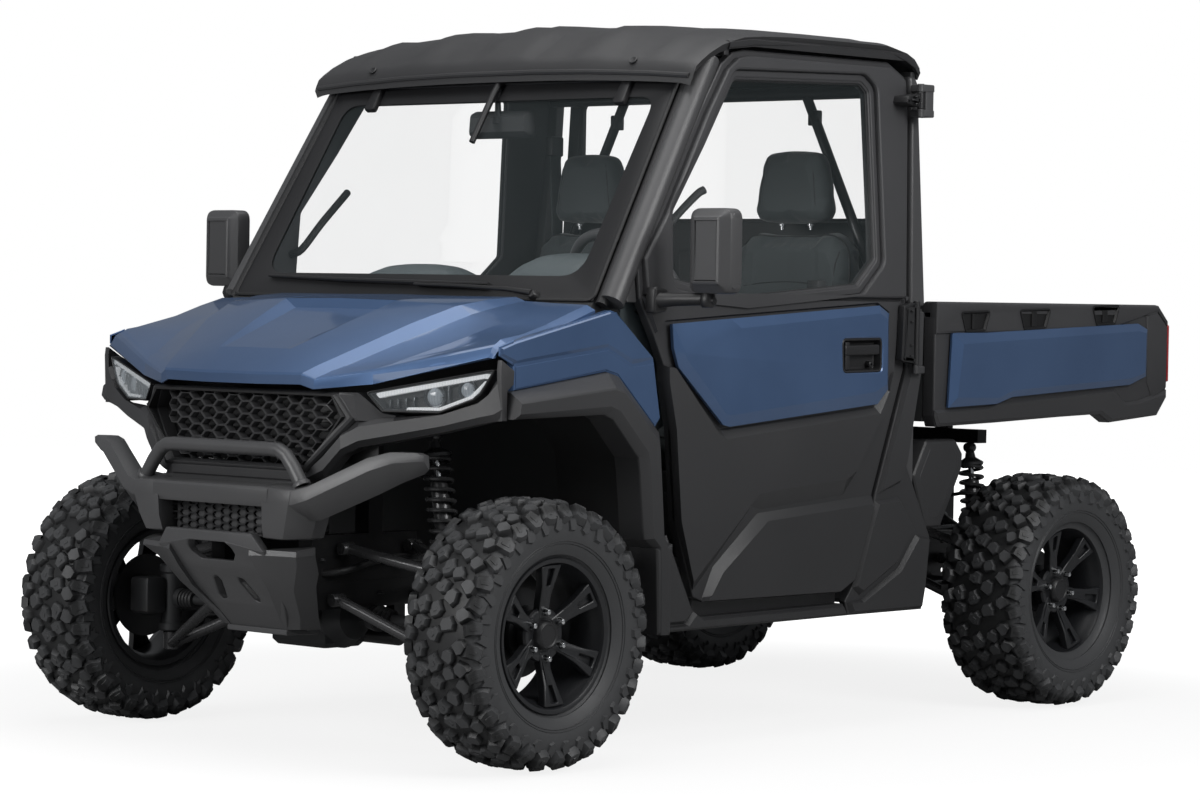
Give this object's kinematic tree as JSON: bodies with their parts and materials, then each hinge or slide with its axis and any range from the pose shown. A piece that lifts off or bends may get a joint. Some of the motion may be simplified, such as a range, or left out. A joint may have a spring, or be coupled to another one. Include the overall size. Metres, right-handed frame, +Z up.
{
  "type": "side by side utility vehicle",
  "caption": "Side by side utility vehicle with an enclosed two-seat cab, opening doors and hood, steered front wheels and a tipping load bed with a tailgate.",
  "frame": {"origin": "centre of the vehicle's footprint box on the ground, under the middle of its length and width", "axes": "+X to the vehicle's left, +Y to its rear, +Z up"},
  "size_m": [1.98, 3.23, 1.936],
  "materials": {
    "blue_paint": "metallic, glossy clear coat",
    "grey_plastic": "grained, satin",
    "black_panel": "satin",
    "chassis_steel": "powder coat, satin",
    "tyre": "matte rubber",
    "rim": "satin",
    "glass": "clear, lightly tinted",
    "seat_fabric": "coated cloth with stitched seams",
    "wheel_grip": "satin",
    "headlamp": "clear lens over dark reflectors",
    "red_lens": "glossy"
  },
  "bodies": {
    "chassis": {"frame": "chassis_steel", "shock_towers": "chassis_steel", "cab_floor": "black_panel", "cage_pillars": "black_panel", "cage_bars": "chassis_steel", "roof": "grey_plastic", "windshield": "glass", "rear_wall": "black_panel", "rear_window": "glass", "cowl": "black_panel", "dashboard": "grey_plastic", "seat_cushions": "seat_fabric", "seat_backs": "seat_fabric", "headrests": "seat_fabric", "front_fascia": "grey_plastic", "grille": "black_panel", "headlights": "headlamp", "front_bumper": "grey_plastic", "skid_plate": "grey_plastic", "front_fenders": "blue_paint", "fender_flares": "grey_plastic", "fender_liners": "black_panel", "rocker_panels": "grey_plastic", "side_covers": "grey_plastic", "engine": "chassis_steel", "differentials": "chassis_steel", "half_shafts": "chassis_steel", "front_arms": "chassis_steel", "rear_arms": "chassis_steel", "shocks": "chassis_steel", "hub_carriers": "chassis_steel", "hitch_receiver": "chassis_steel"},
    "steer_left": {"knuckle_left": "chassis_steel"},
    "steer_right": {"knuckle_right": "chassis_steel"},
    "wheel_front_left": {"tyre_front_left": "tyre", "rim_front_left": "rim"},
    "wheel_front_right": {"tyre_front_right": "tyre", "rim_front_right": "rim"},
    "wheel_rear_left": {"tyre_rear_left": "tyre", "rim_rear_left": "rim"},
    "wheel_rear_right": {"tyre_rear_right": "tyre", "rim_rear_right": "rim"},
    "rack": {"steering_rack": "chassis_steel"},
    "steering_wheel": {"steering_wheel": "wheel_grip"},
    "door_left": {"door_left": "grey_plastic", "door_glass_left": "glass", "door_panel_left": "blue_paint", "mirror_left": "grey_plastic"},
    "door_right": {"door_right": "grey_plastic", "door_glass_right": "glass", "door_panel_right": "blue_paint", "mirror_right": "grey_plastic"},
    "hood": {"hood": "blue_paint"},
    "bed": {"bed": "grey_plastic", "bed_panels": "blue_paint", "tail_lamps": "red_lens"},
    "tailgate": {"tailgate": "grey_plastic"}
  },
  "joints": [
    {"name": "steer_left", "type": "hinge", "parent": "chassis", "child": "steer_left", "pos_m": [0.6, -1.195, 0.34], "axis": [0, 0, 1], "range_deg": [-30, 30]},
    {"name": "steer_right", "type": "hinge", "parent": "chassis", "child": "steer_right", "pos_m": [-0.6, -1.195, 0.34], "axis": [0, 0, 1], "range_deg": [-30, 30]},
    {"name": "roll_front_left", "type": "hinge", "parent": "steer_left", "child": "wheel_front_left", "pos_m": [0.735, -1.195, 0.34], "axis": [1, 0, 0], "continuous": true},
    {"name": "roll_front_right", "type": "hinge", "parent": "steer_right", "child": "wheel_front_right", "pos_m": [-0.735, -1.195, 0.34], "axis": [1, 0, 0], "continuous": true},
    {"name": "roll_rear_left", "type": "hinge", "parent": "chassis", "child": "wheel_rear_left", "pos_m": [0.675, 1.08, 0.34], "axis": [1, 0, 0], "continuous": true},
    {"name": "roll_rear_right", "type": "hinge", "parent": "chassis", "child": "wheel_rear_right", "pos_m": [-0.675, 1.08, 0.34], "axis": [1, 0, 0], "continuous": true},
    {"name": "rack_slide", "type": "slide", "parent": "chassis", "child": "rack", "axis": [1, 0, 0], "range_m": [-0.064, 0.064]},
    {"name": "steering_wheel_turn", "type": "hinge", "parent": "chassis", "child": "steering_wheel", "pos_m": [0.38, -0.475, 1.18], "axis": [0, 0.8269, 0.5623], "range_deg": [-274, 274]},
    {"name": "door_left", "type": "hinge", "parent": "chassis", "child": "door_left", "pos_m": [0.76, 0.339, 1.1], "axis": [0, 0, 1], "range_deg": [0, 65]},
    {"name": "door_right", "type": "hinge", "parent": "chassis", "child": "door_right", "pos_m": [-0.76, 0.339, 1.1], "axis": [0, 0, -1], "range_deg": [0, 65]},
    {"name": "hood_open", "type": "hinge", "parent": "chassis", "child": "hood", "pos_m": [0, -0.928, 1.164], "axis": [-1, 0, 0], "range_deg": [0, 50]},
    {"name": "bed_tip", "type": "hinge", "parent": "chassis", "child": "bed", "pos_m": [0, 1.27, 0.798], "axis": [-1, 0, 0], "range_deg": [0, 40]},
    {"name": "tailgate_drop", "type": "hinge", "parent": "bed", "child": "tailgate", "pos_m": [0, 1.599, 0.898], "axis": [-1, 0, 0], "range_deg": [0, 90]}
  ],
  "couplings": [
    {"joint": "steer_right", "follows": "steer_left", "ratio": 1},
    {"joint": "rack_slide", "follows": "steer_left", "m_per_rad": -0.12},
    {"joint": "steering_wheel_turn", "follows": "steer_left", "ratio": 9}
  ]
}
